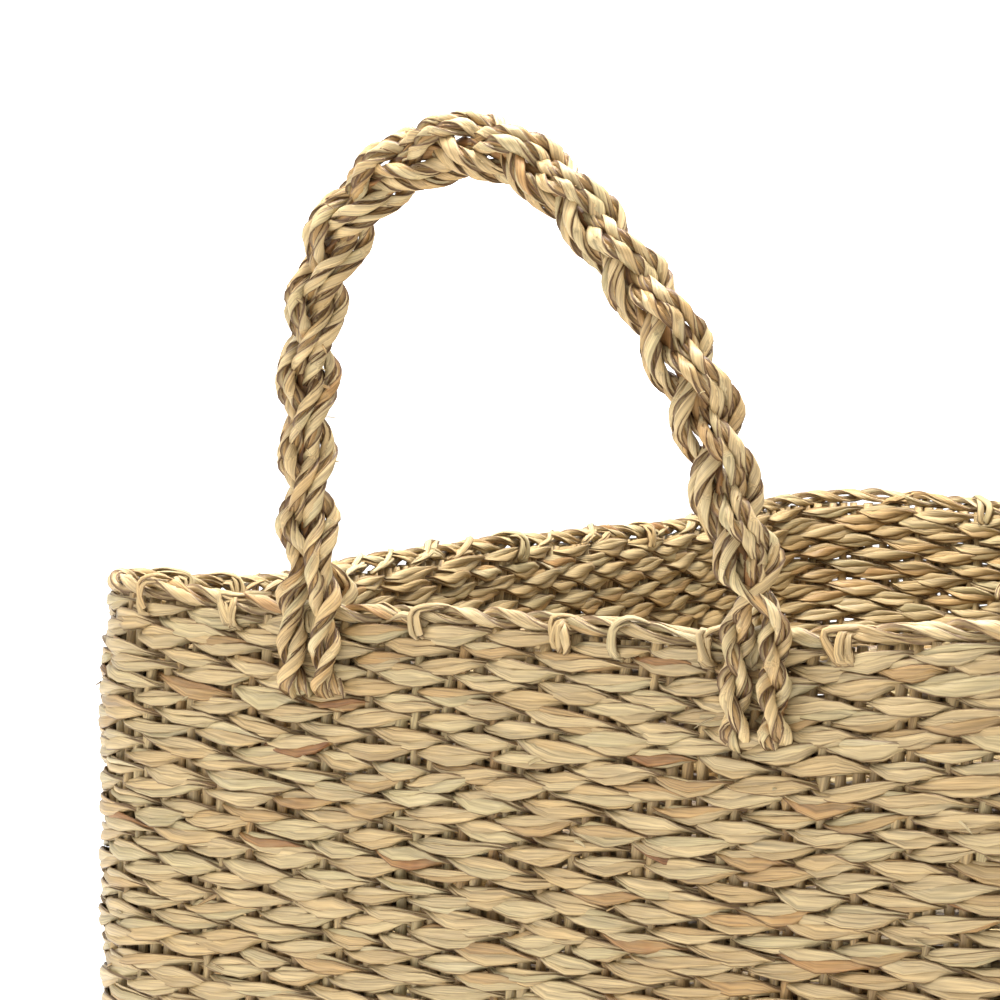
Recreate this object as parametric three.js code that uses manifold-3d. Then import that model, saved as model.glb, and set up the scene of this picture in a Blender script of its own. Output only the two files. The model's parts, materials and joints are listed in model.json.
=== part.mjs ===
// A rectangular seagrass storage basket with two braided loop handles.
// Millimetres, +Z up. The origin is the centre of the underside.
// +X runs along the short sides, which carry the handles, and +Y along the long sides.
// U-shaped stakes cross in the base and rise inside the walls, between an outer and an inner
// weave. A rim strand closes the wall, and each handle foot is a cord hooked round one stake.
import * as THREE from "three";
import { mergeVertices } from "three/addons/utils/BufferGeometryUtils.js";
import Module from "manifold-3d";

// Driving dimensions
const width = 328; // over the weave, across the short sides
const length = 480; // over the weave, along the long sides
const height = 260; // floor to the top of the rim strand
const cornerRadius = 38; // upright corners, outside
const baseEdge = 6; // round-over where the walls leave the base
const gap = 0.3; // between neighbouring pieces
const weaveThickness = 3; // one layer of weft strands
const rowPitch = 8; // height of one ridge, which stands for two rows of weaving
const ribDepth = 1; // how far a ridge stands out from the groove under it
const ribFace = 3; // height of the proud face of a ridge
const grooveFloor = 0.8; // height of the groove between two ridges
const cornerFacets = 6; // in each corner, so that both corner stakes sit against a facet

const stakeThickness = 2;
const stakeWidth = 4;
const stakeBend = 5; // inside radius where a stake turns up into the wall
const frontStakes = 16; // stakes that rise in each short wall
const sideStakes = 26; // stakes that rise in each long wall
const cornerStakes = 2; // extra stakes pushed into each corner
const stakeBendFacets = 2;

const rimHeight = 6.4; // the strand that the stake ends fold over
const rimBevel = 1.6;

const footStake = 5; // each foot hooks the fifth stake from the middle
const footCordRadius = 3.4;
const footCordRoom = 0.6; // between a foot cord and the stake it hooks round
const footDrop = 38; // how far a foot runs down the wall
const footHole = 0.3; // room round a foot cord where it passes through the weave
const footBend = 4;
const footSides = 8;
const footSteps = 26;

const braidRadius = 8.5;
const braidLift = 1; // between the rim and the underside of the braid
const handleRise = 128; // rim to the braid's centre line at the top of the loop
const braidSides = 8;
const braidSteps = 42;

// Places that follow from them
const gripY = length / 2 + gap + footCordRadius;
const hingeZ = height + braidLift + braidRadius;
const stakeLayer = stakeThickness + 2 * gap;
const wallThickness = 2 * weaveThickness + stakeLayer;
const wallTop = height - rimHeight - gap;
const lowerStakeZ = weaveThickness + gap;
const upperStakeZ = lowerStakeZ + stakeThickness + gap;
const innerFloorZ = upperStakeZ + stakeThickness + gap;
const stakeInset = weaveThickness + gap;
const frontPitch = (width - 2 * cornerRadius) / frontStakes;
const sidePitch = (length - 2 * cornerRadius) / sideStakes;
const footX = (footStake - 0.5) * frontPitch;
const footCordOffset = stakeWidth / 2 + footCordRoom + footCordRadius;

// The loop's centre line, as shares of the foot spacing and of the rise above the hinge.
// It leans towards one foot, as a soft braided loop does.
const loopShares = [
  [-0.5, 0], [-0.507, 0.17], [-0.508, 0.4], [-0.495, 0.55], [-0.457, 0.73],
  [-0.38, 0.872], [-0.268, 0.966], [-0.133, 1], [-0.016, 0.966], [0.098, 0.872],
  [0.194, 0.757], [0.294, 0.6], [0.371, 0.435], [0.419, 0.275], [0.457, 0.122], [0.5, 0],
];

const wasm = await Module();
wasm.setup();

const seagrass = { color: 0xb49a6c, roughness: 0.78, metalness: 0 };
const stakeGrass = { color: 0x9c8253, roughness: 0.85, metalness: 0 };
const braidGrass = { color: 0xa98f62, roughness: 0.75, metalness: 0 };

function solidOf(geometry) {
  const bare = new THREE.BufferGeometry();
  const flat = geometry.index ? geometry.toNonIndexed() : geometry;
  bare.setAttribute("position", flat.getAttribute("position"));
  const merged = mergeVertices(bare, 1e-3);
  const vertProperties = merged.attributes.position.array;
  const triVerts = new Uint32Array(merged.index.array);
  return new wasm.Manifold(new wasm.Mesh({ numProp: 3, vertProperties, triVerts }));
}

function geometryOf(solid) {
  const mesh = solid.getMesh();
  const geometry = new THREE.BufferGeometry();
  geometry.setAttribute("position", new THREE.BufferAttribute(mesh.vertProperties, 3));
  geometry.setIndex(new THREE.BufferAttribute(mesh.triVerts, 1));
  geometry.computeVertexNormals();
  return geometry;
}

function pieceOf(name, geometry, finish) {
  const piece = new THREE.Mesh(geometry, new THREE.MeshStandardMaterial(finish));
  piece.name = name;
  return piece;
}

// A rectangle with round corners, drawn a given distance inside the basket's outline.
function outline(inset, Kind = THREE.Shape) {
  const x = width / 2 - cornerRadius;
  const y = length / 2 - cornerRadius;
  const r = cornerRadius - inset;
  const shape = new Kind();
  shape.moveTo(x + r, -y);
  shape.lineTo(x + r, y);
  shape.absarc(x, y, r, 0, Math.PI / 2, false);
  shape.lineTo(-x, y + r);
  shape.absarc(-x, y, r, Math.PI / 2, Math.PI, false);
  shape.lineTo(-x - r, -y);
  shape.absarc(-x, -y, r, Math.PI, 1.5 * Math.PI, false);
  shape.lineTo(x, -y - r);
  shape.absarc(x, -y, r, 1.5 * Math.PI, 2 * Math.PI, false);
  return shape;
}

// A block from low to high whose upper and lower edges are cut back by edge, over edgeHeight.
function block(inset, low, high, edge, edgeHeight = edge) {
  const geometry = new THREE.ExtrudeGeometry(outline(inset + edge), {
    depth: high - low - 2 * edgeHeight,
    bevelEnabled: edge > 0,
    bevelSize: edge,
    bevelThickness: edgeHeight,
    bevelSegments: 1,
    curveSegments: cornerFacets / 2,
  });
  geometry.translate(0, 0, low + edgeHeight);
  return solidOf(geometry);
}

// A block whose upper edge is left square, as a floor turns up into a wall.
function tub(inset, low, high, edge) {
  const foot = block(inset, low, low + 4 * edge, edge);
  return foot.add(block(inset, low + 2 * edge, high, 0));
}

// The outer weave: everything outside the stakes, with one ridge for every two rows.
function outerWeave(holes) {
  const rowCount = Math.round((wallTop - baseEdge) / rowPitch);
  const rowHeight = (wallTop - baseEdge) / rowCount;
  const slope = (rowHeight - ribFace - grooveFloor) / 2;
  let solid = tub(ribDepth, 0, wallTop, baseEdge - ribDepth);
  for (let row = 0; row < rowCount; row += 1) {
    const low = baseEdge + row * rowHeight;
    solid = solid.add(block(0, low, low + rowHeight - grooveFloor, ribDepth, slope));
  }
  const hollow = tub(weaveThickness, weaveThickness, height, baseEdge - weaveThickness);
  return geometryOf(solid.subtract(hollow).subtract(holes));
}

// The inner weave: the lining that stands on the crossed stakes.
function innerWeave(holes) {
  const inset = weaveThickness + stakeLayer;
  const solid = tub(inset, innerFloorZ, wallTop, stakeBend);
  const hollow = tub(wallThickness, innerFloorZ + weaveThickness, height, stakeBend);
  return geometryOf(solid.subtract(hollow).subtract(holes));
}

// A U-shaped stake in the plane of its own bend: floor run at z = low, legs to the wall top.
function stakeGeometry(span, low) {
  const outer = span / 2 - stakeInset;
  const inner = outer - stakeThickness;
  const bend = stakeBend + stakeThickness;
  const top = wallTop - gap;
  const shape = new THREE.Shape();
  shape.moveTo(-outer, top);
  shape.lineTo(-outer, low + bend);
  shape.absarc(-outer + bend, low + bend, bend, Math.PI, 1.5 * Math.PI, false);
  shape.lineTo(outer - bend, low);
  shape.absarc(outer - bend, low + bend, bend, 1.5 * Math.PI, 2 * Math.PI, false);
  shape.lineTo(outer, top);
  shape.lineTo(inner, top);
  shape.lineTo(inner, low + bend);
  shape.absarc(outer - bend, low + bend, stakeBend, 0, -Math.PI / 2, true);
  shape.lineTo(-outer + bend, low + stakeThickness);
  shape.absarc(-outer + bend, low + bend, stakeBend, -Math.PI / 2, -Math.PI, true);
  shape.lineTo(-inner, top);
  const geometry = new THREE.ExtrudeGeometry(shape, {
    depth: stakeWidth,
    bevelEnabled: false,
    curveSegments: stakeBendFacets / 2,
  });
  geometry.translate(0, 0, -stakeWidth / 2);
  return geometry;
}

function twoDigits(number) {
  return String(number).padStart(2, "0");
}

// The stakes that run the long way, which rise in the two short walls.
function longStakes(group) {
  for (let index = 0; index < frontStakes; index += 1) {
    const geometry = stakeGeometry(length, upperStakeZ);
    const stake = pieceOf("long_stake_" + twoDigits(index + 1), geometry, stakeGrass);
    stake.rotation.set(Math.PI / 2, 0, Math.PI / 2, "ZYX");
    stake.position.x = (index + 0.5 - frontStakes / 2) * frontPitch;
    group.add(stake);
  }
}

// The stakes that run the short way, which rise in the two long walls.
function crossStakes(group) {
  for (let index = 0; index < sideStakes; index += 1) {
    const geometry = stakeGeometry(width, lowerStakeZ);
    const stake = pieceOf("cross_stake_" + twoDigits(index + 1), geometry, stakeGrass);
    stake.rotation.x = Math.PI / 2;
    stake.position.y = (index + 0.5 - sideStakes / 2) * sidePitch;
    group.add(stake);
  }
}

// Straight stakes pushed down into the corners, where the crossed ones leave a space.
function addCornerStakes(group) {
  const low = innerFloorZ;
  const top = wallTop - gap;
  const facetMiddle = Math.cos(Math.PI / (4 * cornerFacets));
  const r = (cornerRadius - weaveThickness) * facetMiddle - gap - stakeThickness / 2;
  for (let corner = 0; corner < 4; corner += 1) {
    const cx = (corner === 0 || corner === 3 ? 1 : -1) * (width / 2 - cornerRadius);
    const cy = (corner < 2 ? 1 : -1) * (length / 2 - cornerRadius);
    for (let index = 0; index < cornerStakes; index += 1) {
      const angle = ((corner + (index + 0.5) / cornerStakes) * Math.PI) / 2;
      const geometry = new THREE.BoxGeometry(stakeThickness, stakeWidth, top - low);
      const name = "corner_stake_" + (corner + 1) + "_" + (index + 1);
      const stake = pieceOf(name, geometry, stakeGrass);
      stake.position.set(cx + r * Math.cos(angle), cy + r * Math.sin(angle), (low + top) / 2);
      stake.rotation.z = angle;
      group.add(stake);
    }
  }
}

function rimStrand() {
  const shape = outline(rimBevel);
  shape.holes.push(outline(wallThickness - rimBevel, THREE.Path));
  const geometry = new THREE.ExtrudeGeometry(shape, {
    depth: rimHeight - 2 * rimBevel,
    bevelSize: rimBevel,
    bevelThickness: rimBevel,
    bevelSegments: 1,
    curveSegments: cornerFacets / 2,
  });
  geometry.translate(0, 0, height - rimHeight + rimBevel);
  return geometry;
}

function roundSection(radius, sides) {
  const shape = new THREE.Shape();
  for (let side = 0; side < sides; side += 1) {
    const angle = ((side + 0.5) / sides) * 2 * Math.PI;
    const x = radius * Math.cos(angle);
    const y = radius * Math.sin(angle);
    if (side === 0) shape.moveTo(x, y);
    else shape.lineTo(x, y);
  }
  return shape;
}

function tube(points, radius, sides, steps) {
  const extrudePath = new THREE.CatmullRomCurve3(points, false, "centripetal");
  return new THREE.ExtrudeGeometry(roundSection(radius, sides), { steps, extrudePath });
}

// One foot: down the outside of the wall on one side of a stake, in through the weave, behind
// the stake, out again, and up on its other side.
function footLoop(side, radius) {
  const inY = length / 2 - wallThickness - gap - footCordRadius;
  const low = height - footDrop;
  const top = height - gap;
  const centre = side * footX;
  const halfLoop = [
    [footCordOffset, gripY, top],
    [footCordOffset, gripY, (top + low) / 2],
    [footCordOffset, gripY, low + footBend],
    [footCordOffset, gripY - footBend, low],
    [footCordOffset, inY + footBend / 2, low],
    [footCordOffset - footBend / 2, inY, low],
  ];
  const points = halfLoop.map(([x, y, z]) => new THREE.Vector3(centre - x, -y, z));
  const back = halfLoop.map(([x, y, z]) => new THREE.Vector3(centre + x, -y, z));
  points.push(...back.reverse());
  return tube(points, radius, footSides, footSteps);
}

// The braided loop above the hinge line, with round ends centred on that line.
function handleBraid() {
  const points = loopShares.map(([across, up]) => {
    const z = hingeZ + up * (height + handleRise - hingeZ);
    return new THREE.Vector3(across * 2 * footX, -gripY, z);
  });
  let solid = solidOf(tube(points, braidRadius, braidSides, braidSteps));
  for (const side of [-1, 1]) {
    const ball = new THREE.SphereGeometry(braidRadius, braidSides, braidSides / 2);
    ball.rotateX(Math.PI / 2);
    ball.translate(side * footX, -gripY, hingeZ);
    solid = solid.add(solidOf(ball));
  }
  return geometryOf(solid);
}

// Everything that repeats at the other end is the same piece turned half way round.
function atBothEnds(group, names, geometry, finish) {
  names.forEach((name, end) => {
    const piece = pieceOf(name, geometry.clone(), finish);
    piece.rotation.z = end * Math.PI;
    group.add(piece);
  });
}

function footHoles() {
  let holes = null;
  for (const side of [-1, 1]) {
    const hole = solidOf(footLoop(side, footCordRadius + footHole));
    holes = holes ? holes.add(hole) : hole;
  }
  return holes.add(holes.rotate([0, 0, 180]));
}

function buildBasket() {
  const basket = new THREE.Group();
  const holes = footHoles();
  basket.add(pieceOf("outer_weave", outerWeave(holes), seagrass));
  basket.add(pieceOf("inner_weave", innerWeave(holes), seagrass));
  longStakes(basket);
  crossStakes(basket);
  addCornerStakes(basket);
  basket.add(pieceOf("rim_strand", rimStrand(), seagrass));
  atBothEnds(basket, ["front_left_foot", "back_right_foot"], footLoop(-1, footCordRadius), braidGrass);
  atBothEnds(basket, ["front_right_foot", "back_left_foot"], footLoop(1, footCordRadius), braidGrass);
  atBothEnds(basket, ["front_handle_braid", "back_handle_braid"], handleBraid(), braidGrass);
  return basket;
}

export default buildBasket();
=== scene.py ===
import json
import math

import bmesh
import bpy
import numpy as np
from mathutils import Matrix, Vector


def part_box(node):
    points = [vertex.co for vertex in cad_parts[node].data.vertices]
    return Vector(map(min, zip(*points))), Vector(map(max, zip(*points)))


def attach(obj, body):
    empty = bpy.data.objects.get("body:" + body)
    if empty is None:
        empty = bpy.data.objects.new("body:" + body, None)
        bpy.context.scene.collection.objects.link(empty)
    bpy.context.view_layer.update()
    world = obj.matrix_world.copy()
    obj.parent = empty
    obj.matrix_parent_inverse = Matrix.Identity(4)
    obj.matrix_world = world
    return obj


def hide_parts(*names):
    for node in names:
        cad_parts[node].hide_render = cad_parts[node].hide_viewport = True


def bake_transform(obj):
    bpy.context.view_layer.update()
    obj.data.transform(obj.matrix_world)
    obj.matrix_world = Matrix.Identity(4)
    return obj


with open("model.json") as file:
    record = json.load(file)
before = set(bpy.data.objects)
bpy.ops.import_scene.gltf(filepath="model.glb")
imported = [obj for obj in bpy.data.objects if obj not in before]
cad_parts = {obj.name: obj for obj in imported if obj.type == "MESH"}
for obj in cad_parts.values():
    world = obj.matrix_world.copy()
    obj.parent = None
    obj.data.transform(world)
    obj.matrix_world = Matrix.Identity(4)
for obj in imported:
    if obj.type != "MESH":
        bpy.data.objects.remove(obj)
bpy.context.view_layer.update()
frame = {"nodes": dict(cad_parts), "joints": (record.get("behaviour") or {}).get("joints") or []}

print("basket: frame loaded")

mm = 0.001
tau = 2 * math.pi

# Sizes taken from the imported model
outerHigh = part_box("outer_weave")[1]
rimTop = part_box("rim_strand")[1][2]
footLow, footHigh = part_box("front_left_foot")
frontJoint = [j for j in frame["joints"] if j["name"] == "front_handle_fold"][0]
hingeY = -frontJoint["pos_m"][1]
hingeZ = frontJoint["pos_m"][2]
footX = -(footLow[0] + footHigh[0]) / 2
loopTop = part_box("front_handle_braid")[1][2]

basket = {
    "cornerRadius": 38 * mm,      # outside, as the frame has it
    "wallThickness": 8.6 * mm,
    "rowCount": 61,
    "lowestRow": 5.0 * mm,
    "highestRow": 7.8 * mm,       # below the top of the rim
    "stitchesRound": 60,          # even, so that both weavers close on themselves
}
midX = outerHigh[0] - basket["wallThickness"] / 2
midY = outerHigh[1] - basket["wallThickness"] / 2
midRadius = basket["cornerRadius"] - basket["wallThickness"] / 2


# The camera comes first, because everything is judged through it
view = {"focal": 141.4, "turn": 0.556, "down": 0.066, "place": (0.5535, -1.1466, rimTop + 0.1015)}


def makeCamera():
    data = bpy.data.cameras.new("camera")
    data.sensor_width = 36
    data.lens = view["focal"]
    data.clip_end = 50
    camera = bpy.data.objects.new("camera", data)
    camera.matrix_world = (
        Matrix.Translation(view["place"])
        @ Matrix.Rotation(view["turn"], 4, "Z")
        @ Matrix.Rotation(math.pi / 2 - view["down"], 4, "X")
    )
    bpy.context.scene.collection.objects.link(camera)
    bpy.context.scene.camera = camera


makeCamera()


# Soft random numbers
def wander(rng, place, span, spacing, size, closed=True):
    # a smooth random line along place, with one free value about every spacing
    count = max(4, int(round(span / spacing)))
    values = rng.normal(0, size, count + (0 if closed else 3))
    where = place / span * count
    low = np.floor(where).astype(int)
    part = where - low
    blend = part * part * (3 - 2 * part)
    if closed:
        return values[low % count] * (1 - blend) + values[(low + 1) % count] * blend
    low = np.clip(low, 0, len(values) - 2)
    return values[low] * (1 - blend) + values[low + 1] * blend


def smoothStep(value, low, high):
    part = np.clip((value - low) / (high - low), 0, 1)
    return part * part * (3 - 2 * part)


def smoothPath(points, step):
    points = np.array(points)
    padded = np.vstack([2 * points[0] - points[1], points, 2 * points[-1] - points[-2]])
    parts = []
    t = np.linspace(0, 1, 40, endpoint=False)[:, None]
    for a, b, c, d in zip(padded[:-3], padded[1:-2], padded[2:-1], padded[3:]):
        parts.append(0.5 * (2 * b + (c - a) * t + (2 * a - 5 * b + 4 * c - d) * t**2
                            + (3 * b - a - 3 * c + d) * t**3))
    line = np.vstack(parts + [points[-1:]])
    lengths = np.concatenate([[0], np.cumsum(np.linalg.norm(np.diff(line, axis=0), axis=1))])
    count = int(lengths[-1] / step)
    even = np.linspace(0, lengths[-1], count)
    return np.stack([np.interp(even, lengths, line[:, i]) for i in range(line.shape[1])], axis=-1), even


# The wall's middle line: a rectangle with round corners, walked anticlockwise from the
# middle of the front
flatX = midX - midRadius
flatY = midY - midRadius
arcLength = midRadius * math.pi / 2
loopLength = 4 * flatX + 4 * flatY + 4 * arcLength
stitch = loopLength / basket["stitchesRound"]


def wallLine(place):
    place = np.mod(np.asarray(place, dtype=float), loopLength)
    x = np.zeros_like(place)
    y = np.zeros_like(place)
    nx = np.zeros_like(place)
    ny = np.zeros_like(place)
    start = -flatX
    sides = [
        (2 * flatX, (-flatX, -midY), (1, 0), (0, -1)),
        (2 * flatY, (midX, -flatY), (0, 1), (1, 0)),
        (2 * flatX, (flatX, midY), (-1, 0), (0, 1)),
        (2 * flatY, (-midX, flatY), (0, -1), (-1, 0)),
    ]
    centres = [(flatX, -flatY), (flatX, flatY), (-flatX, flatY), (-flatX, -flatY)]
    for side, (length, origin, along, out) in enumerate(sides):
        local = np.mod(place - start, loopLength)
        on = local < length
        x = np.where(on, origin[0] + along[0] * local, x)
        y = np.where(on, origin[1] + along[1] * local, y)
        nx = np.where(on, out[0], nx)
        ny = np.where(on, out[1], ny)
        start += length
        local = np.mod(place - start, loopLength)
        on = local < arcLength
        angle = -math.pi / 2 + side * math.pi / 2 + local / midRadius
        cx, cy = centres[side]
        x = np.where(on, cx + midRadius * np.cos(angle), x)
        y = np.where(on, cy + midRadius * np.sin(angle), y)
        nx = np.where(on, np.cos(angle), nx)
        ny = np.where(on, np.sin(angle), ny)
        start += arcLength
    return x, y, nx, ny


# How far the hand-woven wall leaves its straight shape
wallShape = {
    "waves": (2, 3, 5, 7, 9, 12),    # waves round the basket
    "bulge": 0.5 * mm,
    "sway": 0.45 * mm,
    "cornerLift": 5.5 * mm,          # the rim climbs at its corners
    "cornerReach": 62 * mm,
    "sideDip": 4.0 * mm,             # and dips along the long sides
    "dipPlace": 105 * mm,
    "dipReach": 45 * mm,
    "rimWaves": 9,
    "rimWave": 0.7 * mm,
    "footTuck": 3.2 * mm,            # the wall turns in at the floor
    "footHeight": 8 * mm,
    "belly": 3.0 * mm,               # and swells below the rim
}
shapeRng = np.random.default_rng(11)
bulges = [
    (turns, shapeRng.uniform(0, tau), shapeRng.uniform(0.4, 1.6), shapeRng.uniform(0, tau))
    for turns in wallShape["waves"]
]


def wallBulge(place, z):
    total = np.zeros_like(place)
    for turns, phase, heightTurns, heightPhase in bulges:
        wave = np.sin(turns * tau * place / loopLength + phase)
        total += wave * np.sin(heightTurns * tau * z / rimTop + heightPhase) / turns**0.5
    return wallShape["bulge"] * total


def rowSway(place, z):
    total = np.zeros_like(place)
    for turns, phase, heightTurns, _ in bulges:
        wave = np.cos(turns * tau * place / loopLength + 2 * phase)
        total += wave * np.sin(0.5 * math.pi * z / rimTop) * np.sin(heightTurns * z / rimTop * 5 + phase)
    return wallShape["sway"] * total


def rimLift(place):
    x, y, _, _ = wallLine(place)
    fromCorner = np.maximum(midX - np.abs(x), midY - np.abs(y))
    lift = wallShape["cornerLift"] * np.exp(-((fromCorner / wallShape["cornerReach"]) ** 2))
    onSide = np.abs(np.abs(x) - midX) < 1 * mm
    fromDip = (fromCorner - wallShape["dipPlace"]) / wallShape["dipReach"]
    lift = lift - np.where(onSide, wallShape["sideDip"] * np.exp(-(fromDip**2)), 0)
    lift += wallShape["rimWave"] * np.sin(wallShape["rimWaves"] * tau * place / loopLength + 1.3)
    return lift


def onWall(place, out, z):
    # a point of the wall, out from its middle line, at a nominal height
    x, y, nx, ny = wallLine(place)
    shift = out + wallBulge(place, z)
    shift -= wallShape["footTuck"] * np.clip(1 - z / wallShape["footHeight"], 0, 1) ** 2
    shift += wallShape["belly"] * smoothStep(rimTop - z, 4 * mm, 36 * mm) * smoothStep(z, 0, 110 * mm)
    lifted = z + rimLift(place) * np.clip(z / rimTop, 0, 1.1) ** 3 + rowSway(place, z)
    return np.stack([x + nx * shift, y + ny * shift, lifted], axis=-1)


# Blades: every woven or plaited part is made of flat grass blades, each one a curve with a
# lens-shaped section
# across a blade: its two edges, the flat face between them, and its back
bladeShape = [(0.1, 1), (0.82, 0.66), (0.82, -0.66), (0.1, -1), (-0.7, 0)]
# how far a point is an edge also sets how much painted edge shade it takes
bladeEdge = [1, 0, 0, 1, 0.2]        # how far each of them is an edge
sectionSides = len(bladeShape)


def bladeSection(name, halfWide, halfThin):
    data = bpy.data.curves.new(name, "CURVE")
    data.dimensions = "2D"
    spline = data.splines.new("POLY")
    spline.points.add(sectionSides - 1)
    for point, (thin, wide) in zip(spline.points, bladeShape):
        point.co = (thin * halfThin / 0.82, wide * halfWide, 0, 1)
    spline.use_cyclic_u = True
    section = bpy.data.objects.new(name, data)
    bpy.context.scene.collection.objects.link(section)
    return section


def curveMesh(name, blades, section, closed, tilts):
    data = bpy.data.curves.new(name, "CURVE")
    data.dimensions = "3D"
    data.bevel_mode = "OBJECT"
    data.bevel_object = section
    data.twist_mode = "Z_UP" if closed else "MINIMUM"
    data.use_fill_caps = not closed
    for index, blade in enumerate(blades):
        count = len(blade["path"])
        spline = data.splines.new("POLY")
        spline.points.add(count - 1)
        spline.use_cyclic_u = closed
        spline.use_smooth = True
        points = np.ones((count, 4))
        points[:, :3] = blade["path"]
        spline.points.foreach_set("co", points.ravel())
        spline.points.foreach_set("radius", blade["size"])
        spline.points.foreach_set("tilt", tilts[index])
    holder = bpy.data.objects.new(name, data)
    bpy.context.scene.collection.objects.link(holder)
    graph = bpy.context.evaluated_depsgraph_get()
    mesh = bpy.data.meshes.new_from_object(holder.evaluated_get(graph))
    bpy.data.objects.remove(holder)
    bpy.data.curves.remove(data)
    return mesh


def bladesPiece(name, blades, section, closed, material):
    # blades: path (n, 3), face (n, 3) the way its flat side looks, size (n), tone (n)
    flat = [np.zeros(len(b["path"])) for b in blades]
    trial = curveMesh(name, blades, section, closed, flat)
    spots = np.empty(len(trial.vertices) * 3)
    trial.vertices.foreach_get("co", spots)
    spots = spots.reshape(-1, 3)
    bpy.data.meshes.remove(trial)
    tilts = []
    # caps come before the tubes, so the tubes fill the end of the list
    start = 0 if closed else len(spots) - sum(len(b["path"]) for b in blades) * sectionSides
    for blade in blades:
        count = len(blade["path"])
        rings = spots[start : start + count * sectionSides].reshape(count, sectionSides, 3)
        start += count * sectionSides
        seen = rings[:, 1] + rings[:, 2] - rings[:, 0] - rings[:, 3]
        path = blade["path"]
        if closed:
            along = np.roll(path, -1, axis=0) - np.roll(path, 1, axis=0)
        else:
            along = np.gradient(path, axis=0)
        along /= np.linalg.norm(along, axis=1, keepdims=True)
        turn = np.einsum("ij,ij->i", along, np.cross(seen, blade["face"]))
        level = np.einsum("ij,ij->i", seen, blade["face"])
        tilts.append(np.arctan2(turn, level))
    mesh = curveMesh(name, blades, section, closed, tilts)
    toneLayer = mesh.attributes.new("tone", "FLOAT", "POINT")
    tubeTones = np.concatenate([np.repeat(b["tone"], sectionSides) for b in blades])
    tones = np.full(len(mesh.vertices), 0.45)      # what the caps keep
    tones[len(tones) - len(tubeTones) :] = tubeTones
    toneLayer.data.foreach_set("value", tones)
    # the edge attribute marks where the material paints shade along blade edges
    edgeLayer = mesh.attributes.new("edge", "FLOAT", "POINT")
    edges = np.full(len(mesh.vertices), 0.2)
    edges[len(tones) - len(tubeTones) :] = np.tile(bladeEdge, len(tubeTones) // sectionSides)
    edgeLayer.data.foreach_set("value", edges)
    scaleUv(mesh, blades)
    if not closed:
        closeEnds(mesh)
    piece = bpy.data.objects.new(name, mesh)
    bpy.context.scene.collection.objects.link(piece)
    mesh.materials.clear()
    mesh.materials.append(material)
    return piece


def closeEnds(mesh):
    # the caps of a curve come loose: join them to their tubes
    bm = bmesh.new()
    bm.from_mesh(mesh)
    bmesh.ops.remove_doubles(bm, verts=bm.verts, dist=1e-6)
    bm.to_mesh(mesh)
    bm.free()


def scaleUv(mesh, blades):
    # one unit of U is a centimetre along the blade
    layer = mesh.uv_layers[0]
    uv = np.empty(len(mesh.loops) * 2)
    layer.data.foreach_get("uv", uv)
    path = blades[0]["path"]
    length = np.linalg.norm(np.diff(path, axis=0), axis=1).sum()
    uv[0::2] *= length / 0.01
    layer.data.foreach_set("uv", uv)


# Dry grass, streaked along each blade, with painted shade at its edges: a dark brown laid where blades meet
# stands in for the shade in the crevices between them
grass = {
    # colours by tone, from a brown blade to a bleached one
    "tones": [
        (0.00, (0.30, 0.125, 0.040)),
        (0.06, (0.42, 0.215, 0.075)),
        (0.18, (0.53, 0.335, 0.140)),
        (0.42, (0.62, 0.445, 0.220)),
        (0.62, (0.67, 0.520, 0.290)),
        (0.80, (0.60, 0.495, 0.275)),
        (1.00, (0.78, 0.655, 0.420)),
    ],
    # turns along and around a blade, and detail
    "fineStreaks": (0.5, 22, 3),
    "broadStreaks": (0.35, 5, 2),
    "patches": (0.8, 1.2, 3),
    "patchiness": 0.34,
    "fineShade": (0.50, 1.08),
    "broadShade": (0.78, 1.12),
    # painted shade: the dark brown mixed onto blade edges, for the shade in the crevices between blades
    "edgeShadeColour": (0.085, 0.036, 0.010, 1),
    "roughness": (0.40, 0.58),
    "specular": 0.38,
    "bump": 0.55,
    "bumpDepth": 0.4 * mm,
}


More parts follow.
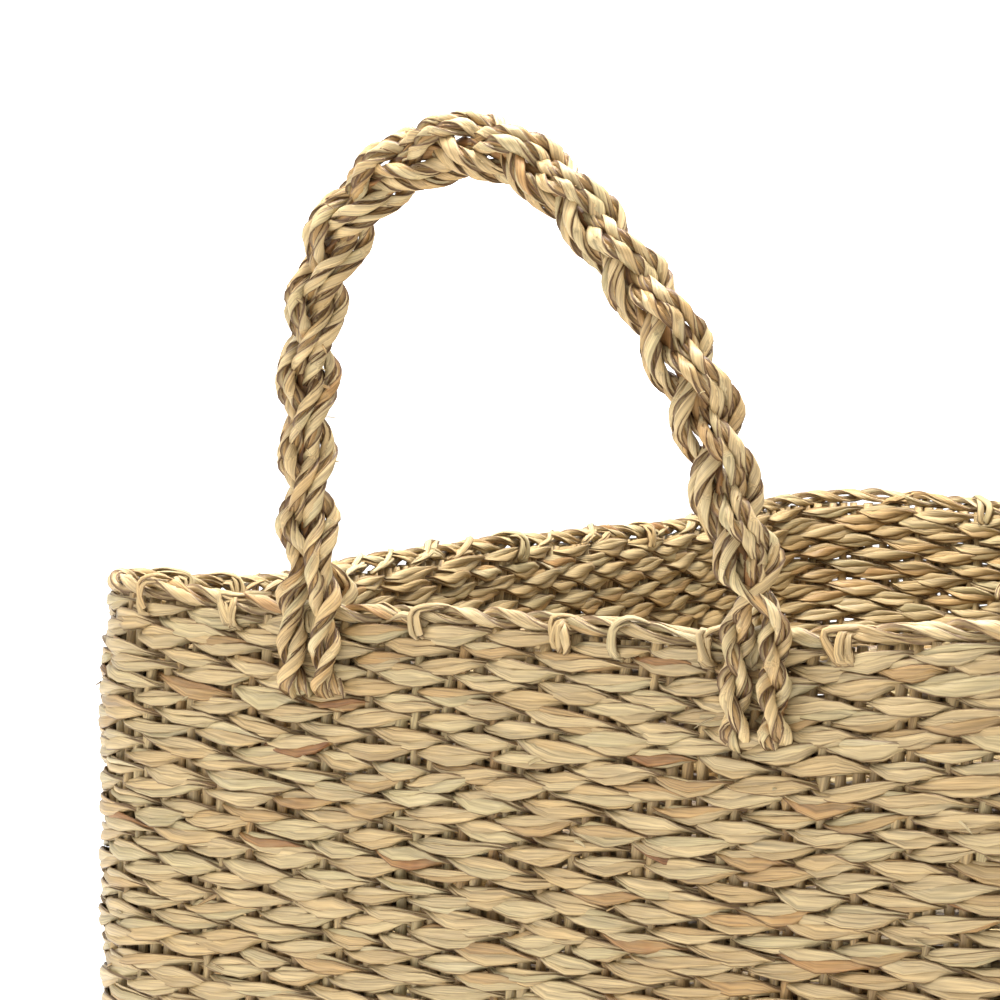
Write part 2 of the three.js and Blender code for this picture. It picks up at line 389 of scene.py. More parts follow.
def grassMaterial(name, tint, shade, edgeShadeStrength):
    material = bpy.data.materials.new(name)
    material.use_nodes = True
    nodes = material.node_tree.nodes
    links = material.node_tree.links
    nodes.clear()
    output = nodes.new("ShaderNodeOutputMaterial")
    surface = nodes.new("ShaderNodeBsdfPrincipled")
    links.new(surface.outputs[0], output.inputs[0])
    tone = nodes.new("ShaderNodeAttribute")
    tone.attribute_name = "tone"
    uv = nodes.new("ShaderNodeUVMap")
    split = nodes.new("ShaderNodeSeparateXYZ")
    links.new(uv.outputs[0], split.inputs[0])
    toneShift = nodes.new("ShaderNodeMath")
    toneShift.operation = "MULTIPLY"
    toneShift.inputs[1].default_value = 53.0
    links.new(tone.outputs["Fac"], toneShift.inputs[0])
    joined = nodes.new("ShaderNodeCombineXYZ")
    links.new(split.outputs[0], joined.inputs[0])
    links.new(split.outputs[1], joined.inputs[1])
    links.new(toneShift.outputs[0], joined.inputs[2])

    def streaks(along, around, detail):
        mapping = nodes.new("ShaderNodeMapping")
        mapping.inputs["Scale"].default_value = (along, around, 1)
        links.new(joined.outputs[0], mapping.inputs["Vector"])
        noise = nodes.new("ShaderNodeTexNoise")
        noise.inputs["Scale"].default_value = 1.0
        noise.inputs["Detail"].default_value = detail
        noise.inputs["Roughness"].default_value = 0.6
        links.new(mapping.outputs[0], noise.inputs["Vector"])
        return noise

    fine = streaks(*grass["fineStreaks"])
    broad = streaks(*grass["broadStreaks"])
    patches = streaks(*grass["patches"])

    ramp = nodes.new("ShaderNodeValToRGB")
    stops = grass["tones"]
    ramp.color_ramp.elements[0].position = stops[0][0]
    ramp.color_ramp.elements[1].position = stops[-1][0]
    for position, _ in stops[1:-1]:
        ramp.color_ramp.elements.new(position)
    for element, (position, colour) in zip(ramp.color_ramp.elements, stops):
        element.color = tuple(c * s for c, s in zip(colour, tint)) + (1,)
    wobble = nodes.new("ShaderNodeMath")
    wobble.operation = "MULTIPLY_ADD"
    wobble.inputs[1].default_value = grass["patchiness"]
    links.new(patches.outputs["Fac"], wobble.inputs[0])
    lowered = nodes.new("ShaderNodeMath")
    lowered.operation = "SUBTRACT"
    lowered.inputs[1].default_value = grass["patchiness"] / 2
    links.new(tone.outputs["Fac"], lowered.inputs[0])
    links.new(lowered.outputs[0], wobble.inputs[2])
    links.new(wobble.outputs[0], ramp.inputs["Fac"])

    fineRamp = nodes.new("ShaderNodeMapRange")
    fineRamp.inputs["From Min"].default_value = 0.30
    fineRamp.inputs["From Max"].default_value = 0.62
    fineRamp.inputs["To Min"].default_value = grass["fineShade"][0]
    fineRamp.inputs["To Max"].default_value = grass["fineShade"][1]
    links.new(fine.outputs["Fac"], fineRamp.inputs["Value"])
    broadRamp = nodes.new("ShaderNodeMapRange")
    broadRamp.inputs["From Min"].default_value = 0.3
    broadRamp.inputs["From Max"].default_value = 0.7
    broadRamp.inputs["To Min"].default_value = grass["broadShade"][0]
    broadRamp.inputs["To Max"].default_value = grass["broadShade"][1]
    links.new(broad.outputs["Fac"], broadRamp.inputs["Value"])
    both = nodes.new("ShaderNodeMath")
    both.operation = "MULTIPLY"
    links.new(fineRamp.outputs[0], both.inputs[0])
    links.new(broadRamp.outputs[0], both.inputs[1])
    shadeNode = nodes.new("ShaderNodeMath")
    shadeNode.operation = "MULTIPLY"
    shadeNode.inputs[1].default_value = shade
    links.new(both.outputs[0], shadeNode.inputs[0])
    colour = nodes.new("ShaderNodeMix")
    colour.data_type = "RGBA"
    colour.blend_type = "MULTIPLY"
    colour.inputs["Factor"].default_value = 1.0
    links.new(ramp.outputs[0], colour.inputs["A"])
    links.new(shadeNode.outputs[0], colour.inputs["B"])
    # painted shade: the edge attribute mixes a dark brown onto blade edges, standing in for the shade in the
    # crevices between blades
    edge = nodes.new("ShaderNodeAttribute")
    edge.attribute_name = "edge"
    edgeShadeRamp = nodes.new("ShaderNodeMapRange")
    edgeShadeRamp.interpolation_type = "SMOOTHSTEP"
    edgeShadeRamp.inputs["From Min"].default_value = 0.38
    edgeShadeRamp.inputs["From Max"].default_value = 1.0
    edgeShadeRamp.inputs["To Max"].default_value = edgeShadeStrength
    links.new(edge.outputs["Fac"], edgeShadeRamp.inputs["Value"])
    edgeShadeColour = nodes.new("ShaderNodeMix")
    edgeShadeColour.data_type = "RGBA"
    edgeShadeColour.inputs["B"].default_value = grass["edgeShadeColour"]
    links.new(edgeShadeRamp.outputs[0], edgeShadeColour.inputs["Factor"])
    links.new(colour.outputs["Result"], edgeShadeColour.inputs["A"])
    links.new(edgeShadeColour.outputs["Result"], surface.inputs["Base Color"])

    roughRamp = nodes.new("ShaderNodeMapRange")
    roughRamp.inputs["To Min"].default_value = grass["roughness"][0]
    roughRamp.inputs["To Max"].default_value = grass["roughness"][1]
    links.new(broad.outputs["Fac"], roughRamp.inputs["Value"])
    links.new(roughRamp.outputs[0], surface.inputs["Roughness"])
    surface.inputs["Specular IOR Level"].default_value = grass["specular"]

    bump = nodes.new("ShaderNodeBump")
    bump.inputs["Strength"].default_value = grass["bump"]
    bump.inputs["Distance"].default_value = grass["bumpDepth"]
    links.new(fine.outputs["Fac"], bump.inputs["Height"])
    links.new(bump.outputs[0], surface.inputs["Normal"])
    return material


# the last number sets how strong the painted edge shade is; the handle's is strongest, for the deep crevices
# of its plait
weaveGrass = grassMaterial("weave_grass", (1.0, 0.965, 0.88), 0.68, 0.84)
stakeGrass = grassMaterial("stake_grass", (1.0, 0.94, 0.82), 0.68, 0.4)
rimGrass = grassMaterial("rim_grass", (1.0, 0.965, 0.89), 0.76, 0.84)
handleGrass = grassMaterial("handle_grass", (1.0, 0.955, 0.87), 0.82, 1.0)
print("basket: grass mixed")


def toneLine(rng, stitches, change=0.45):
    # one tone for each stitch: a blade keeps its tone until it is spliced, and a few are brown
    tones = np.empty(stitches)
    current = 0.5
    for index in range(stitches):
        if index == 0 or rng.random() < change:
            pick = rng.random()
            if pick < 0.012:
                current = rng.uniform(0.02, 0.12)
            elif pick < 0.06:
                current = rng.uniform(0.14, 0.30)
            else:
                current = float(np.clip(rng.normal(0.58, 0.13), 0.3, 0.97))
        tones[index] = current + rng.normal(0, 0.02)
    return tones


# Wall rows: two weavers twist round each other, and cross between every five stakes
row = {
    "samples": 6,            # points in each stitch
    "gather": 0.28,          # they lie closer where the weavers cross
    "reachOut": 2.9 * mm,    # from the wall's middle to a weaver's middle
    "reachUp": 0.62 * mm,
    "otherTwist": -1.7,      # every second row is twisted the other way, so the slants mirror
    "sag": 0.55 * mm,        # a weaver's middle hangs below its ends
    "lean": 0.46 * mm,
    "drift": 0.40 * mm,
    "inset": 0.30 * mm,
    "turnOver": 0.42,        # a blade looks out for most of a stitch, and turns over at its end
    "bladeSpread": 1.12 * mm,
    "bladeDepth": 0.5 * mm,
    "bladeHalfWide": 1.62 * mm,
    "bladeHalfThin": 0.62 * mm,
    "blades": 3,
    "bladeTurn": 0.42,       # turns of the bundle in each stitch
}
rowSection = bladeSection("row_section", row["bladeHalfWide"], row["bladeHalfThin"])
rowHeights = np.linspace(basket["lowestRow"], rimTop - basket["highestRow"], basket["rowCount"])


gap = {
    "beside": 21 * mm,       # from the middle of a foot
    "width": 9 * mm,
    "below": 40 * mm,        # from the rim
    "fade": 10 * mm,
    "wide": 2.2 * mm,
    "narrow": 0.9 * mm,
}


def gapPush(place, z):
    # rows spread a little beside the ends of a handle's cords
    push = np.zeros_like(place)
    for end in (0, 1):
        for side in (-1, 1):
            middle = end * loopLength / 2 + side * footX
            away = np.mod(place - middle + loopLength / 2, loopLength) - loopLength / 2
            beside = np.exp(-(((np.abs(away) - gap["beside"]) / gap["width"]) ** 2))
            height = z - (rimTop - gap["below"])
            reach = gap["wide"] if side * (1 - 2 * end) > 0 else gap["narrow"]
            push += reach * beside * np.sign(height) * np.exp(-np.abs(height) / gap["fade"])
    return push


def rowBlades(rowIndex, z):
    rng = np.random.default_rng(1000 + rowIndex)
    stitches = basket["stitchesRound"]
    shift = 0.5 * (rowIndex % 2)
    twist = 1 if rowIndex % 2 else row["otherTwist"]
    # each blade starts at a crossing on the back, where its ends meet unseen
    steps = stitches / 2 + 0.5 + np.arange(stitches * row["samples"]) / row["samples"]
    place = (steps + row["gather"] * np.sin(tau * steps) / tau - shift) * stitch % loopLength
    _, _, nx, ny = wallLine(place)
    drift = wander(rng, place, loopLength, 0.05, row["drift"]) + gapPush(place, z)
    inset = wander(rng, place, loopLength, 0.05, row["inset"]) + rng.normal(0, 0.2 * mm)
    uneven = wander(rng, place, loopLength, 0.035, 0.12)
    blades = []
    for weaver in (0, 1):
        phase = math.pi * (place / stitch + shift + weaver + uneven)
        cosine = np.cos(phase)
        sine = np.sin(phase)
        turned = phase - row["turnOver"] * np.sin(2 * phase)
        fat = 1.04 + wander(rng, place, loopLength, stitch, 0.15)
        lean = wander(rng, place, loopLength, stitch * 0.8, row["lean"])
        belly = cosine**2        # widest in the middle of a stitch, pinched at the crossings
        out = row["reachOut"] * np.sign(cosine) * np.abs(cosine) ** 0.6 + inset
        up = -twist * row["reachUp"] * sine**3 * np.abs(sine) + lean + drift
        up += row["sag"] * (sine**2 - 0.5)
        turns = np.round(row["bladeTurn"] * (1 + rng.normal(0, 0.2)) * stitches)
        spin = tau * turns * place / loopLength + wander(rng, place, loopLength, 0.04, 0.6)
        for blade in range(row["blades"]):
            angle = spin + tau * blade / row["blades"]
            across = row["bladeSpread"] * fat * (0.45 + 0.85 * belly) * np.sin(angle)
            deep = row["bladeDepth"] * np.cos(angle)
            outward = out + np.cos(turned) * deep + np.sin(turned) * across
            upward = up - np.sin(turned) * deep + np.cos(turned) * across
            path = onWall(place, outward, z + upward)
            roll = turned + 0.3 * np.sin(angle) + wander(rng, place, loopLength, 0.02, 0.16)
            face = np.stack([nx * np.cos(roll), ny * np.cos(roll), -np.sin(roll)], axis=-1)
            tones = toneLine(rng, stitches // 2)
            turnIndex = np.floor((phase - math.pi / 2) / tau).astype(int) % len(tones)
            size = fat * (0.8 + 0.3 * belly) * (1 + wander(rng, place, loopLength, stitch * 0.7, 0.17))
            blades.append({"path": path, "face": face, "size": size, "tone": tones[turnIndex]})
    return blades


def makeRows():
    for index, z in enumerate(rowHeights):
        name = "wall_row_%02d" % (index + 1)
        piece = bladesPiece(name, rowBlades(index, z), rowSection, True, weaveGrass)
        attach(piece, "basket")
        if index == 0:
            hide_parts("outer_weave", "inner_weave")
    print("basket:", len(rowHeights), "rows woven")


makeRows()


# Upright stakes, seen in the gaps between rows
stake = {
    "perStitch": 5,
    "radius": 1.9 * mm,
    "lay": 70 * mm,
    "step": 6 * mm,
    "foot": 2.5 * mm,
    "belowRim": 4 * mm,
    "stray": 0.5 * mm,
}
stakeSection = bladeSection("stake_section", stake["radius"], 0.85 * stake["radius"])


def makeStakes():
    rng = np.random.default_rng(5)
    heights = np.arange(stake["foot"], rimTop - stake["belowRim"], stake["step"])
    perWall = {}
    count = basket["stitchesRound"] * stake["perStitch"]
    for index in range(count):
        place = np.full(len(heights), (index + 0.5) * loopLength / count)
        place = place + wander(rng, heights, rimTop, 0.05, stake["stray"], closed=False)
        path = onWall(place, wander(rng, heights, rimTop, 0.04, 0.2 * mm, closed=False), heights)
        _, _, nx, ny = wallLine(place)
        turn = tau * heights / stake["lay"] + rng.uniform(0, tau)
        faceX = nx * np.cos(turn) - ny * np.sin(turn)
        faceY = ny * np.cos(turn) + nx * np.sin(turn)
        face = np.stack([faceX, faceY, 0 * nx], axis=-1)
        size = 1 + wander(rng, heights, rimTop, 0.02, 0.08, closed=False)
        tone = np.full(len(heights), float(np.clip(rng.normal(0.52, 0.12), 0.2, 0.9)))
        quarter = index * 4 // count
        perWall.setdefault(quarter, []).append({"path": path, "face": face, "size": size, "tone": tone})
    names = ["stakes_right", "stakes_back", "stakes_left", "stakes_front"]
    nodes = [n for n in frame["nodes"] if "_stake_" in n]
    for quarter, blades in perWall.items():
        piece = bladesPiece(names[quarter], blades, stakeSection, False, stakeGrass)
        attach(piece, "basket")
        if quarter == 0:
            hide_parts(*nodes)
    print("basket: stakes set")


makeStakes()


# Floor of the basket: straight rows that run the long way
floor = {
    "pitch": 5.6 * mm,
    "height": 6.4 * mm,
    "samples": 5,
    "blades": 2,
    "reachDown": 2.4 * mm,
    "reachSide": 1.5 * mm,
    "spread": 1.2 * mm,
    "depth": 0.45 * mm,
}
floorSection = bladeSection("floor_section", 1.7 * mm, 0.8 * mm)


def makeFloor():
    rng = np.random.default_rng(77)
    rowsAcross = int(2 * (midX - 5 * mm) / floor["pitch"])
    groups = {}
    for index in range(rowsAcross + 1):
        x0 = (index - rowsAcross / 2) * floor["pitch"]
        inside = max(abs(x0) - flatX, 0)
        reach = flatY + math.sqrt(max(midRadius**2 - inside**2, 0)) - 1 * mm
        count = int(2 * reach / stitch * floor["samples"])
        y = np.linspace(-reach, reach, count)
        drift = wander(rng, y + reach, 2 * reach, 0.09, 0.3 * mm, closed=False)
        for weaver in (0, 1):
            phase = math.pi * (y / stitch + weaver + 0.5 * (index % 2))
            spin = tau * 0.3 * y / stitch + rng.uniform(0, tau)
            fat = 1 + wander(rng, y + reach, 2 * reach, stitch, 0.1, closed=False)
            for blade in range(floor["blades"]):
                angle = spin + tau * blade / floor["blades"]
                across = floor["spread"] * fat * np.sin(angle)
                deep = floor["depth"] * np.cos(angle)
                down = floor["reachDown"] * np.cos(phase) + np.cos(phase) * deep + np.sin(phase) * across
                side = -floor["reachSide"] * np.sin(phase) - np.sin(phase) * deep + np.cos(phase) * across
                path = np.stack([x0 + side + drift, y, floor["height"] - down], axis=-1)
                face = np.stack([-np.sin(phase), 0 * y, -np.cos(phase)], axis=-1)
                tones = toneLine(rng, count // floor["samples"] + 2)
                which = np.clip(((y + reach) / stitch / 2).astype(int), 0, len(tones) - 1)
                blades = groups.setdefault(index * 3 // (rowsAcross + 1), [])
                blades.append({"path": path, "face": face, "size": fat, "tone": tones[which]})
    for group, blades in groups.items():
        piece = bladesPiece("floor_mat_%d" % (group + 1), blades, floorSection, False, weaveGrass)
        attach(piece, "basket")
    print("basket: floor woven")


makeFloor()


# Rim: a twisted top strand, with the stake ends folded over it
rim = {
    "below": 3.0 * mm,
    "reach": 1.35 * mm,
    "out": 0.8 * mm,
    "half": 17 * mm,         # along the rim, half a turn of the strand
    "samples": 7,
    "spread": 0.85 * mm,
    "depth": 0.55 * mm,
}
rimSection = bladeSection("rim_section", 1.25 * mm, 0.62 * mm)
loopSection = bladeSection("rim_loop_section", 1.25 * mm, 0.75 * mm)
foldedEnd = {
    "first": 12 * mm,
    "last": 8 * mm,
    "apart": (13 * mm, 32 * mm),
    "wide": (9 * mm, 15 * mm),
    "tall": (-1.3 * mm, 0.3 * mm),
    "uneven": 0.55 * mm,
    "step": 1.6 * mm,
}


def makeRim():
    rng = np.random.default_rng(21)
    halves = 2 * int(round(loopLength / rim["half"] / 2))
    count = halves * rim["samples"]
    place = np.arange(count) * loopLength / count
    _, _, nx, ny = wallLine(place)
    height = rimTop - rim["below"]
    drift = wander(rng, place, loopLength, 0.03, 0.5 * mm)
    uneven = wander(rng, place, loopLength, 0.03, 0.12)
    blades = []
    for ply in (0, 1):
        phase = math.pi * (place / loopLength * halves + ply + uneven)
        fat = 1.1 + wander(rng, place, loopLength, 0.02, 0.12)
        spin = tau * np.round(halves * 0.4) * place / loopLength + rng.uniform(0, tau)
        for blade in range(3):
            angle = spin + tau * blade / 3
            across = rim["spread"] * fat * np.sin(angle)
            deep = rim["depth"] * np.cos(angle)
            outward = rim["reach"] * np.cos(phase) + np.cos(phase) * deep + np.sin(phase) * across
            upward = -rim["reach"] * np.sin(phase) - np.sin(phase) * deep + np.cos(phase) * across
            path = onWall(place, outward + rim["out"], height + upward + drift)
            roll = phase + 0.35 * np.sin(angle) + wander(rng, place, loopLength, 0.02, 0.2)
            face = np.stack([nx * np.cos(roll), ny * np.cos(roll), -np.sin(roll)], axis=-1)
            tones = toneLine(rng, halves // 2)
            which = np.floor((phase - math.pi / 2) / tau).astype(int) % len(tones)
            size = fat * (1 + wander(rng, place, loopLength, 0.012, 0.14))
            blades.append({"path": path, "face": face, "size": size, "tone": tones[which]})
    strand = bladesPiece("rim_top_strand", blades, rimSection, True, rimGrass)
    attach(strand, "basket")
    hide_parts("rim_strand")
    loops = []
    place = foldedEnd["first"]
    while place < loopLength - foldedEnd["last"]:
        _, _, nx, ny = wallLine(place)
        if abs(nx * ny) < 0.02:      # none on the round corners
            loops += rimLoop(rng, place)
        place += rng.uniform(*foldedEnd["apart"])
    folded = bladesPiece("rim_folded_ends", loops, loopSection, False, rimGrass)
    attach(folded, "basket")
    print("basket: rim bound,", len(loops), "folded blades")


def rimLoop(rng, middle):
    # a stake end comes up on one face of the wall, bends over the strand, and lies down
    # along the rim behind it
    wide = rng.uniform(*foldedEnd["wide"])
    tall = rng.uniform(*foldedEnd["tall"])
    front = rng.choice([1, 1, 1, -1])
    tone = float(np.clip(rng.normal(0.6, 0.12), 0.2, 0.95))
    blades = []
    count = rng.integers(2, 6)
    for blade in range(count):
        inner = 1 - 0.22 * blade
        # along the rim, out from the wall, and up from the rim's top
        points = [
            (-0.24 * wide * inner, 0.4 * mm, -11.0 * mm),
            (-0.40 * wide * inner, 4.4 * mm, -8.0 * mm),
            (-0.45 * wide * inner, 3.9 * mm, (-3.9 + 2.2 * inner) * mm),
            (-0.10 * wide, 2.0 * mm, tall - 0.9 * mm * blade),
            (0.30 * wide * inner, -0.6 * mm, tall - (0.5 + 1.0 * blade) * mm),
            (0.75 * wide, -2.4 * mm, -3.4 * mm),
            (1.25 * wide, -1.2 * mm, -6.0 * mm),
        ]
        points = np.array(points) + rng.normal(0, foldedEnd["uneven"], (7, 3)) * (1.6, 0.5, 0.7)
        line, steps = smoothPath(points, foldedEnd["step"])
        along = middle + line[:, 0]
        path = onWall(along, 0.5 * mm + front * line[:, 1], rimTop + line[:, 2])
        _, _, nx, ny = wallLine(along)
        level = 0.3 * front * line[:, 1] / mm
        face = np.stack([nx * level + 0.2 * ny, ny * level - 0.2 * nx, 0.9 + 0 * nx], axis=-1)
        size = rng.uniform(0.65, 1.35) * (1.05 - 0.35 * steps / steps[-1])
        shade = np.full(len(along), tone + rng.normal(0, 0.05))
        blades.append({"path": path, "face": face, "size": size, "tone": shade})
    return blades


makeRim()


# Handles: three strands of two cords each, plaited, whose cords part at the rim
handle = {
    "step": 1.5 * mm,
    "plaitHalfWide": 5.9 * mm,
    "plaitHalfDeep": 3.5 * mm,
    "plaitTurn": 63 * mm,
    "pairReach": 2.15 * mm,
    "footLay": 27 * mm,
    "footReach": 2.25 * mm,
    "footSpread": 5.6 * mm,
    "footDrop": 36 * mm,
    "shortFoot": 5 * mm,          # one foot is tucked in a little higher
    "plyReach": 1.25 * mm,
    "plyLay": 17 * mm,
    "bladeReach": 0.62 * mm,
    "bladeLay": 31 * mm,
    "coreLay": 24 * mm,
    "foldFrom": 1 * mm,           # the cords bend between these heights above the rim
    "foldTo": 24 * mm,
}
handleSection = bladeSection("handle_section", 1.5 * mm, 0.72 * mm)
# the loop's middle line, as shares of the foot spacing and of its rise above the hinge
loopShares = [
    (-0.5, 0), (-0.507, 0.17), (-0.508, 0.4), (-0.495, 0.55), (-0.457, 0.73),
    (-0.38, 0.872), (-0.268, 0.966), (-0.133, 1), (-0.016, 0.966), (0.098, 0.872),
    (0.194, 0.757), (0.294, 0.6), (0.371, 0.435), (0.419, 0.275), (0.457, 0.122), (0.5, 0),
]


def handleLine():
    rise = loopTop - 8.5 * mm - hingeZ
    low = rimTop - handle["footDrop"]
    points = [(-footX, low + handle["shortFoot"]), (-footX, (low + hingeZ) / 2)]
    points += [(across * 2 * footX, hingeZ + up * rise) for across, up in loopShares]
    points += [(footX, (low + hingeZ) / 2), (footX, low)]
    return smoothPath(points, handle["step"])


def besideLine(line, normal, offN, offB):
    # offN is in the loop's plane, offB straight out of it
    across = line[:, 0] + normal[:, 0] * offN
    up = line[:, 1] + normal[:, 1] * offN
    return np.stack([across, -hingeY - offB, up], axis=-1)


def turnedFace(normal, turn):
    return np.stack([normal[:, 0] * np.cos(turn), -np.sin(turn), normal[:, 1] * np.cos(turn)], axis=-1)


def cordBlades(rng, line, normal, along, cordN, cordB):
    # one cord: two plies twisted together, each of two blades
    total = along[-1]
    blades = []
    lay = tau * along / handle["plyLay"] + rng.uniform(0, tau)
    lay += wander(rng, along, total, 0.03, 0.5, closed=False)
    for ply in (0, 1):
        twist = lay + math.pi * ply
        fat = 1 + wander(rng, along, total, 0.015, 0.10, closed=False)
        spin = tau * along / handle["bladeLay"] + rng.uniform(0, tau)
        for blade in (0, 1):
            angle = spin + math.pi * blade
            around = handle["bladeReach"] * fat * np.cos(angle)
            outer = handle["plyReach"] + 0.5 * handle["bladeReach"] * np.sin(angle)
            offN = cordN + outer * np.cos(twist) - around * np.sin(twist)
            offB = cordB + outer * np.sin(twist) + around * np.cos(twist)
            path = besideLine(line, normal, offN, offB)
            look = twist + 0.3 * np.sin(angle) + wander(rng, along, total, 0.02, 0.2, closed=False)
            face = turnedFace(normal, look)
            size = fat * (1 + wander(rng, along, total, 0.012, 0.14, closed=False))
            which = (along / (9 * mm)).astype(int)
            shade = toneLine(rng, which[-1] + 1, change=0.4)[which]
            blades.append({"path": path, "face": face, "size": size, "tone": shade})
    # painted shade: a brown core (tone 0.2) runs down the middle of each cord and shows in the gaps between
    # its plies, standing for the shade there
    core = tau * along / handle["bladeLay"]
    path = besideLine(line, normal, cordN, cordB)
    size = np.full(len(along), 1.05)
    shade = np.full(len(along), 0.2)
    blades.append({"path": path, "face": turnedFace(normal, core), "size": size, "tone": shade})
    return blades


def makeHandle(end):
    rng = np.random.default_rng(300 + end)
    line, along = handleLine()
    total = along[-1]
    tangent = np.gradient(line, axis=0)
    tangent /= np.linalg.norm(tangent, axis=1, keepdims=True)
    normal = np.stack([-tangent[:, 1], tangent[:, 0]], axis=-1)
    fromEnd = np.minimum(along, total - along)
    level = np.where(fromEnd < 80 * mm, line[:, 1] - rimTop, 60 * mm)
    plaited = smoothStep(level, 1 * mm, 18 * mm)
    tucked = 1 - smoothStep(fromEnd, 0, 9 * mm)
    over = 1 - smoothStep(level, 2 * mm, 17 * mm)
    under = 1 - smoothStep(level, -24 * mm, -15 * mm)
    uneven = wander(rng, along, total, 0.04, 0.25, closed=False)
    broad = 0.84 + 0.30 * along / total + wander(rng, along, total, 0.025, 0.09, closed=False)
    blades = []
    for strand in range(3):
        turn = tau * along / handle["plaitTurn"] + tau * strand / 3 + uneven
        sway = wander(rng, along, total, 0.03, 0.35 * mm, closed=False)
        plaitN = handle["plaitHalfWide"] * broad * np.sin(turn) + sway
        plaitB = handle["plaitHalfDeep"] * np.sin(2 * turn)
        footN = np.full(len(along), [-1.0, 1.0, -1.2][strand] * handle["footSpread"])
        if strand == 2:
            footN[along < total / 2] = -0.1 * handle["footSpread"]
        footB = -11 * mm * tucked if strand < 2 else -16 * mm * over + 7 * mm * under
        centreN = plaitN * plaited + footN * (1 - plaited)
        centreB = plaitB * plaited + footB
        pairTurn = -0.9 * np.sin(turn) * plaited + tau * level / handle["footLay"] * (1 - plaited)
        reach = handle["pairReach"] * plaited + handle["footReach"] * (1 - plaited)
        for cord in (-1, 1):
            cordN = centreN + cord * reach * np.cos(pairTurn)
            cordB = centreB + cord * reach * np.sin(pairTurn)
            made = cordBlades(rng, line, normal, along, cordN, cordB)
            if strand == 2:
                keep = level > -24 * mm
                made = [{part: values[keep] for part, values in blade.items()} for blade in made]
            blades += made
    # painted shade: a dark core (tone 0.08) fills the middle of the plait, a dark filler seen through the
    # plait's gaps where there is only shade
    middle = level > 8 * mm        # a dark core fills the plait
    turn = tau * along / handle["coreLay"]
    path = besideLine(line, normal, 0 * along, 0 * along)
    size = np.full(len(along), 1.55)
    shade = np.full(len(along), 0.08)
    core = {"path": path, "face": turnedFace(normal, turn), "size": size, "tone": shade}
    blades.append({part: values[middle] for part, values in core.items()})
    name = ["front", "back"][end]
    if end:
        for blade in blades:
            blade["path"] = blade["path"] * (-1, -1, 1)
            blade["face"] = blade["face"] * (-1, -1, 1)
    piece = bladesPiece(name + "_handle", blades, handleSection, False, handleGrass)
    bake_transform(piece)
    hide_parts(name + "_handle_braid", name + "_left_foot", name + "_right_foot")
    print("basket:", name, "handle plaited")


makeHandle(0)
makeHandle(1)


# Stray fibres and short split ends that stand off the weave and the braid
hairSection = bladeSection("hair_section", 0.42 * mm, 0.16 * mm)
stray = {"wallFibres": 150, "splints": 26, "handleFibres": 34, "points": 9}


def curl(rng, start, direction, side, length):
    t = np.linspace(0, 1, stray["points"])[:, None]
    bend = rng.uniform(-0.6, 0.6) * length
    drop = np.array([[0, 0, -1.0]]) * rng.uniform(0, 0.25) * length
    return start + direction * length * t + side * bend * t**2 + drop * t**2


def strayBlade(path, size, tone):
    along = np.gradient(path, axis=0)
    face = np.cross(along, (0.3, 0.2, 1.0))
    taper = size * np.sqrt(np.clip(1.02 - np.linspace(0, 1, len(path)) ** 2, 0.02, 1))
    return {"path": path, "face": face, "size": taper, "tone": np.full(len(path), tone)}


def makeStrays():
    rng = np.random.default_rng(909)
    blades = []
    for _ in range(stray["wallFibres"]):
        place = np.array([rng.uniform(0, loopLength)])
        z = rng.uniform(12, 255) * mm
        start = onWall(place, np.array([3.8 * mm]), z)
        _, _, nx, ny = wallLine(place)
        out = np.array([nx[0], ny[0], 0.0])
        tangent = np.array([-ny[0], nx[0], 0.0])
        way = tangent * rng.choice([-1, 1]) + out * rng.uniform(0.15, 0.5)
        way = way + np.array([0, 0, rng.uniform(-0.5, 0.5)])
        path = curl(rng, start, way / np.linalg.norm(way), out, rng.uniform(3, 9) * mm)
        blades.append(strayBlade(path, rng.uniform(0.5, 1.6), rng.uniform(0.3, 0.9)))
    across = np.linspace(-1, 1, stray["points"])
    for _ in range(stray["splints"]):
        # thin upright splints that run over a few rows
        low = rng.uniform(15, 200) * mm
        heights = np.linspace(low, low + rng.uniform(9, 20) * mm, stray["points"])
        place = rng.uniform(0, loopLength) + across * rng.uniform(-1.5, 1.5) * mm
        _, _, nx, ny = wallLine(place)
        path = onWall(place, 4.9 * mm - 2.2 * mm * across**4, heights)
        face = np.stack([nx, ny, 0 * nx], axis=-1)
        size = np.full(stray["points"], rng.uniform(1.4, 2.6))
        tone = np.full(stray["points"], rng.uniform(0.3, 0.8))
        blades.append({"path": path, "face": face, "size": size, "tone": tone})
    piece = bladesPiece("stray_wall_fibres", blades, hairSection, False, weaveGrass)
    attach(piece, "basket")
    line = handleLine()[0]
    for end, name in enumerate(("front", "back")):
        blades = []
        for _ in range(stray["handleFibres"]):
            at = rng.integers(int(len(line) * 0.17), int(len(line) * 0.83))
            angle = rng.uniform(0, tau)
            out = np.array([math.cos(angle), math.sin(angle), rng.uniform(-0.6, 0.6)])
            start = np.array([[line[at, 0], -hingeY, line[at, 1]]]) + out * 6.5 * mm
            out /= np.linalg.norm(out)
            side = np.cross(out, (0, 0, 1.0))
            path = curl(rng, start, out, side, rng.uniform(2.5, 6) * mm)
            blades.append(strayBlade(path, rng.uniform(0.4, 1.3), rng.uniform(0.2, 0.9)))
        if end:
            for blade in blades:
                blade["path"] = blade["path"] * (-1, -1, 1)
                blade["face"] = blade["face"] * (-1, -1, 1)
        piece = bladesPiece("stray_fibres_" + name, blades, hairSection, False, handleGrass)
        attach(piece, name + "_handle")
    print("basket: stray fibres added")


makeStrays()
for section in (rowSection, stakeSection, floorSection, rimSection, loopSection, handleSection, hairSection):
    bpy.data.objects.remove(section)


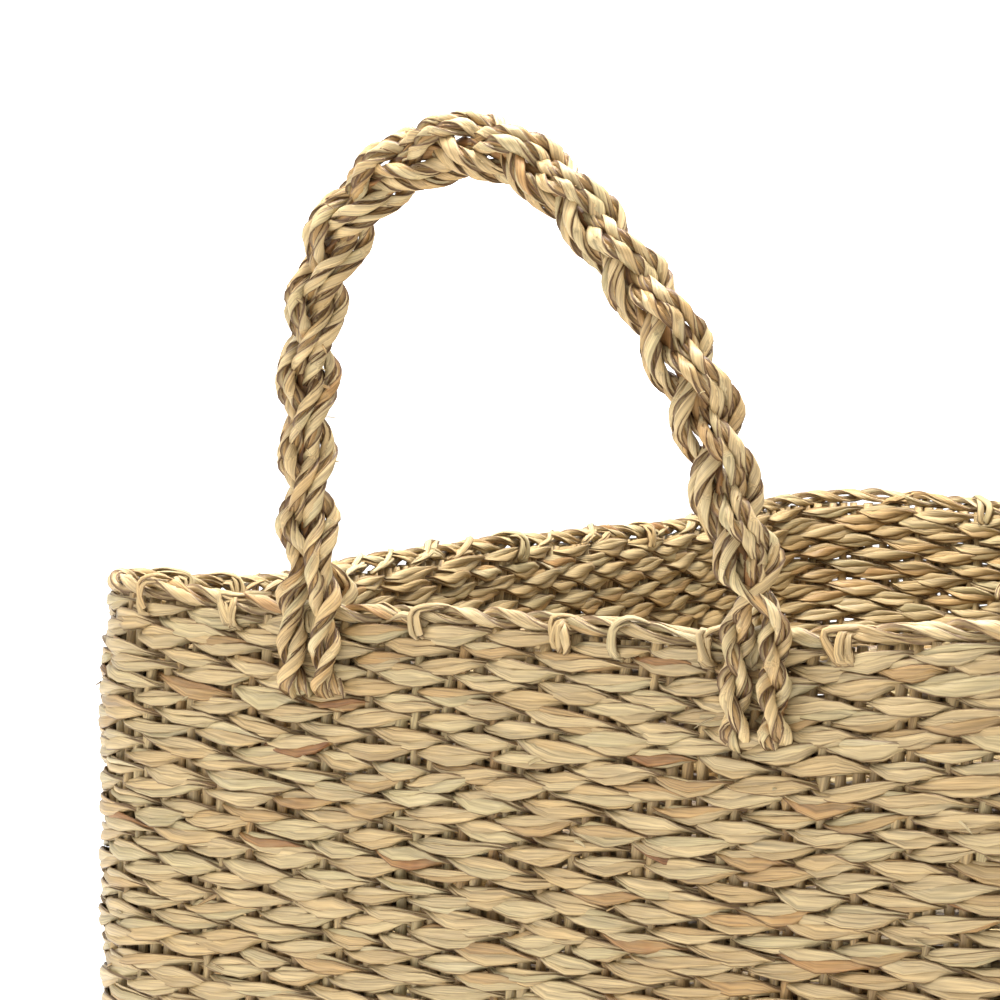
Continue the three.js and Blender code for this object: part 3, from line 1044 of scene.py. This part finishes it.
# Pale floor and backdrop, soft lights
studio = {
    "size": 9,
    "floorGlow": 0.52,
    "backdropGlow": 1.0,
    "backdropPlace": (-4.2, 6.8, 4),
    "world": 0.72,
    "aim": (0, 0, 0.2),
    # name, place, size, power and colour
    "lights": [
        ("key", (-1.15, -1.15, 1.3), 0.65, 16, (1.0, 0.98, 0.95)),
        ("top", (0.35, -0.35, 2.4), 1.2, 34, (1.0, 1.0, 1.0)),
        ("hood", (0.0, -0.1, 0.85), 0.5, 13.0, (1.0, 0.98, 0.95)),
    ],
}


def stagePlane(name, place, turn, glow):
    bm = bmesh.new()
    bmesh.ops.create_grid(bm, x_segments=1, y_segments=1, size=studio["size"])
    bm.transform(Matrix.Translation(place) @ turn)
    mesh = bpy.data.meshes.new(name)
    bm.to_mesh(mesh)
    bm.free()
    plane = bpy.data.objects.new(name, mesh)
    bpy.context.scene.collection.objects.link(plane)
    pale = bpy.data.materials.new(name)
    pale.use_nodes = True
    surface = pale.node_tree.nodes["Principled BSDF"]
    surface.inputs["Base Color"].default_value = (0.93, 0.93, 0.93, 1)
    surface.inputs["Roughness"].default_value = 0.9
    surface.inputs["Emission Color"].default_value = (1, 1, 1, 1)
    surface.inputs["Emission Strength"].default_value = glow
    mesh.materials.append(pale)


def makeStudio():
    stagePlane("studio_floor", (0, 0, 0), Matrix.Identity(4), studio["floorGlow"])
    upright = Matrix.Rotation(view["turn"], 4, "Z") @ Matrix.Rotation(math.pi / 2, 4, "X")
    stagePlane("studio_backdrop", studio["backdropPlace"], upright, studio["backdropGlow"])

    world = bpy.data.worlds.new("studio")
    bpy.context.scene.world = world
    world.use_nodes = True
    background = world.node_tree.nodes["Background"]
    background.inputs["Color"].default_value = (1, 1, 1, 1)
    background.inputs["Strength"].default_value = studio["world"]
    for name, place, size, power, colour in studio["lights"]:
        data = bpy.data.lights.new(name, "AREA")
        data.shape = "DISK"
        data.size = size
        data.energy = power
        data.color = colour
        light = bpy.data.objects.new(name, data)
        light.location = place
        aim = Vector(studio["aim"]) - Vector(place)
        light.rotation_euler = aim.to_track_quat("-Z", "Y").to_euler()
        bpy.context.scene.collection.objects.link(light)
    bpy.context.scene.view_settings.view_transform = "Standard"


makeStudio()
